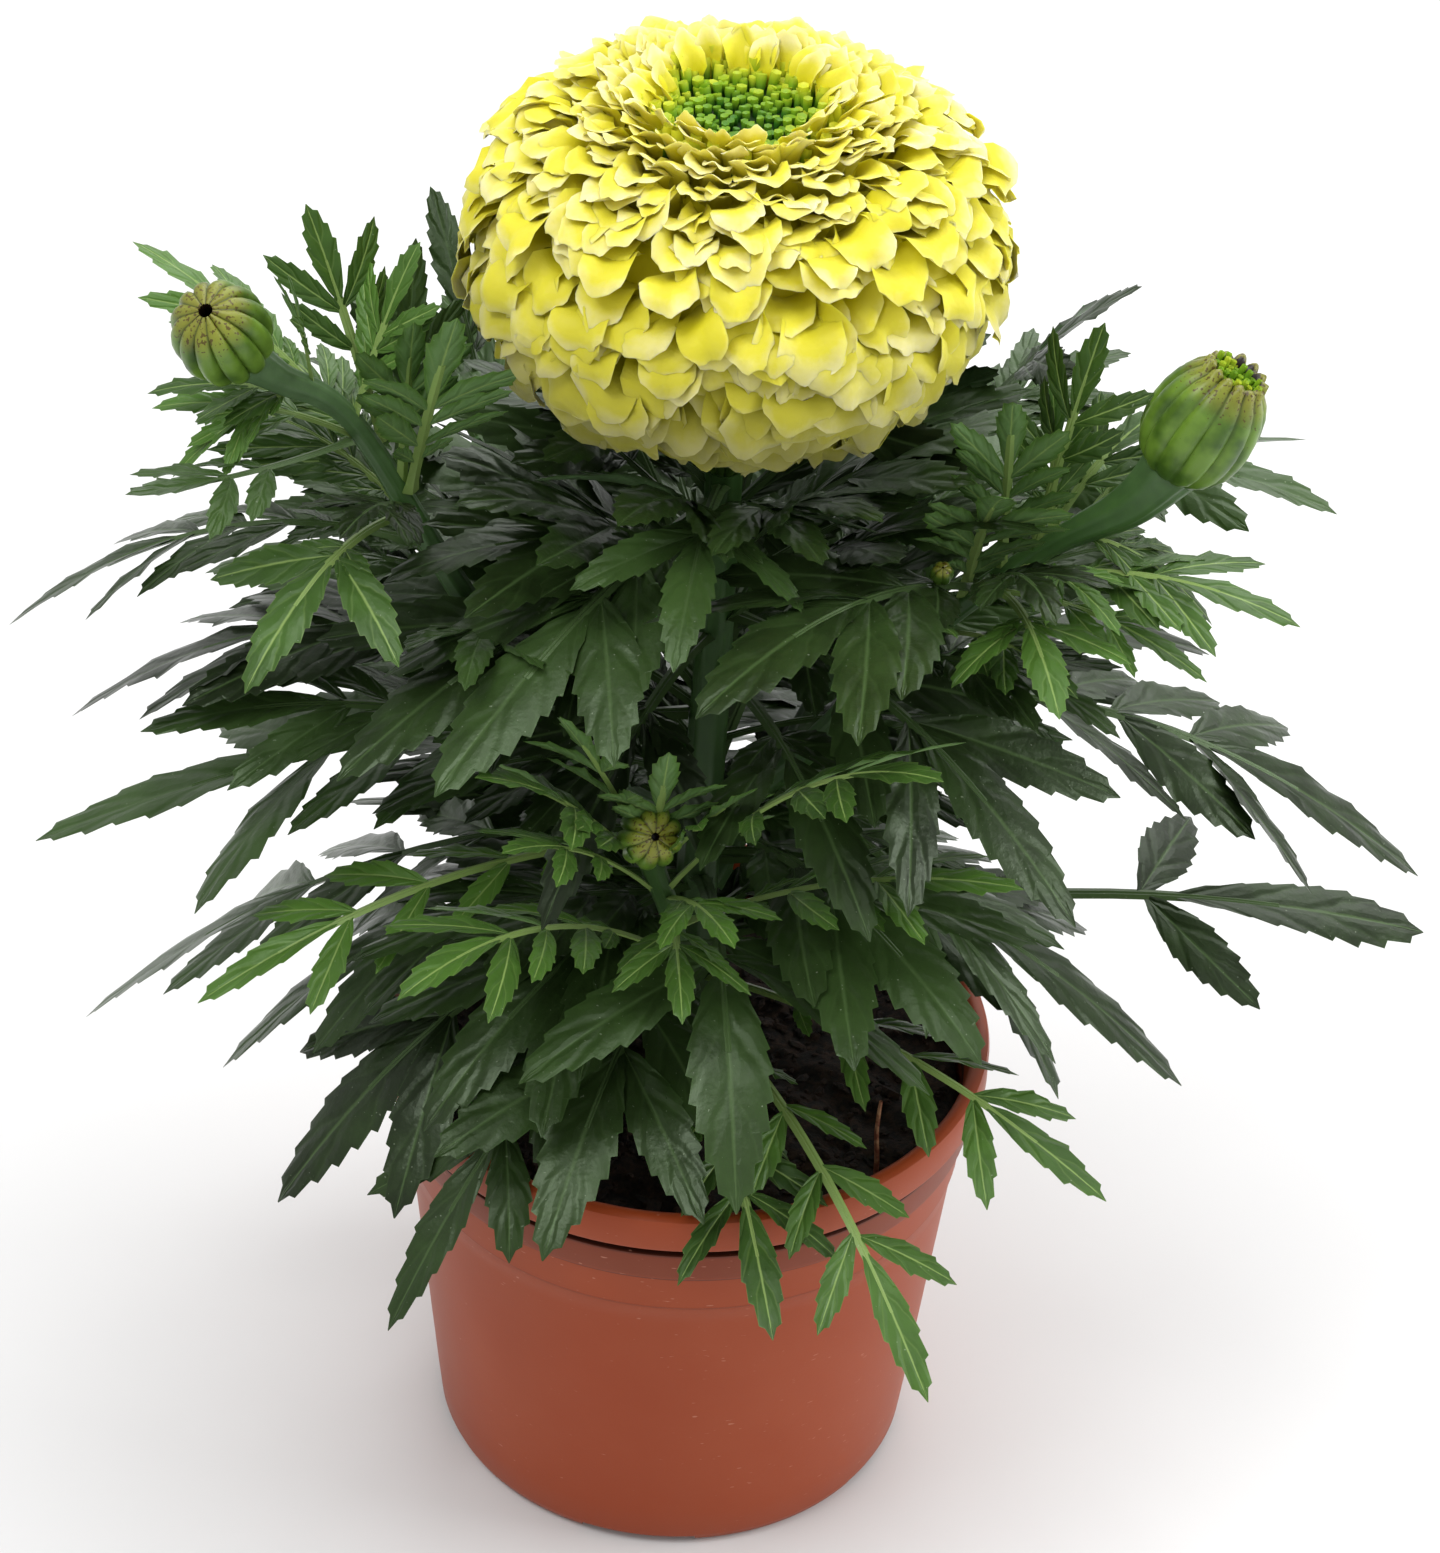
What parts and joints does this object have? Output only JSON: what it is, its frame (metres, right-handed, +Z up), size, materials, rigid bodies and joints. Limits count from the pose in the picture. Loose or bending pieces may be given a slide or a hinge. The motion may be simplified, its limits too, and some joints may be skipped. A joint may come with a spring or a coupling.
{
  "type": "potted plant",
  "caption": "Young African marigold with a double yellow bloom, ribbed buds and toothed compound leaves, in a brown plastic nursery pot.",
  "frame": {"origin": "on the pot's axis, in the flat underside that the pot stands on", "axes": "+Z up along the pot's axis, -Y towards the front that the picture shows, +X to the right in it"},
  "size_m": [0.2773, 0.1944, 0.3091],
  "materials": {
    "pot": "terracotta-brown moulded plastic, satin",
    "soil": "damp dark potting mix",
    "stems": "green stem skin, satin",
    "petals": "lemon-yellow petals, soft matt",
    "florets": "yellow-green young florets, matt",
    "buds": "ribbed olive-green bracts, satin",
    "old_leaves": "very dark green leaves with a grey-green gloss",
    "young_leaves": "fresh green leaves, satin"
  },
  "bodies": {
    "root": {"bloom_calyx": "buds", "bloom_florets": "florets", "bloom_petals": "petals", "branch_back_left": "stems", "branch_back_right": "stems", "branch_front": "stems", "branch_left": "stems", "branch_right": "stems", "bud_front": "buds", "bud_left": "buds", "bud_right": "buds", "leaf_back_1": "old_leaves", "leaf_back_2": "old_leaves", "leaf_back_3": "old_leaves", "leaf_back_4": "old_leaves", "leaf_back_5": "old_leaves", "leaf_back_6": "old_leaves", "leaf_front_1": "old_leaves", "leaf_front_10": "old_leaves", "leaf_front_11": "old_leaves", "leaf_front_12": "old_leaves", "leaf_front_13": "old_leaves", "leaf_front_14": "old_leaves", "leaf_front_15": "old_leaves", "leaf_front_2": "old_leaves", "leaf_front_3": "old_leaves", "leaf_front_4": "young_leaves", "leaf_front_5": "young_leaves", "leaf_front_6": "old_leaves", "leaf_front_7": "young_leaves", "leaf_front_8": "young_leaves", "leaf_front_9": "young_leaves", "leaf_left_1": "young_leaves", "leaf_left_10": "old_leaves", "leaf_left_11": "old_leaves", "leaf_left_12": "young_leaves", "leaf_left_13": "young_leaves", "leaf_left_14": "old_leaves", "leaf_left_15": "old_leaves", "leaf_left_2": "young_leaves", "leaf_left_3": "old_leaves", "leaf_left_4": "old_leaves", "leaf_left_5": "old_leaves", "leaf_left_6": "old_leaves", "leaf_left_7": "old_leaves", "leaf_left_8": "young_leaves", "leaf_left_9": "old_leaves", "leaf_right_1": "old_leaves", "leaf_right_10": "old_leaves", "leaf_right_2": "old_leaves", "leaf_right_3": "young_leaves", "leaf_right_4": "old_leaves", "leaf_right_5": "old_leaves", "leaf_right_6": "old_leaves", "leaf_right_7": "old_leaves", "leaf_right_8": "young_leaves", "leaf_right_9": "young_leaves", "main_stem": "stems", "pot": "pot", "soil": "soil"}
  },
  "joints": []
}
